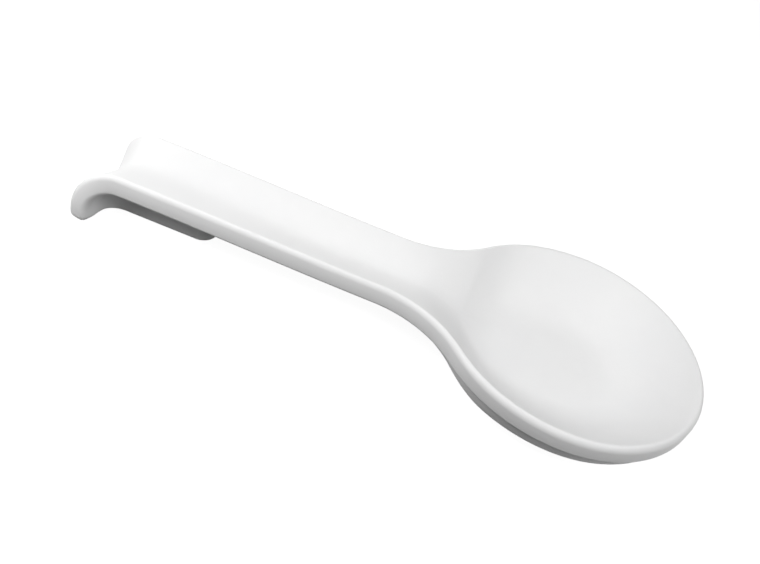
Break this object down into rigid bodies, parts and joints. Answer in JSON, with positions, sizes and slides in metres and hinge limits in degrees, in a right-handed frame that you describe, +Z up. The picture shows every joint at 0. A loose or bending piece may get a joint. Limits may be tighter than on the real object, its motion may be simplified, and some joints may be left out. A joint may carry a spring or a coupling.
{
  "type": "spoon rest",
  "caption": "One-piece counter rest for a cooking spoon: a shallow round bowl for the spoon's head and an open channel handle that ends in a turned-down lip.",
  "frame": {"origin": "on the counter plane, under the middle of the whole piece", "axes": "+Z up, +X along the piece from the lip of the handle to the nose of the bowl, +Y to the left of +X"},
  "size_m": [0.25, 0.103, 0.024],
  "materials": {
    "white_body": "smooth satin white, moulded"
  },
  "bodies": {
    "root": {"rest_body": "white_body"}
  },
  "joints": []
}
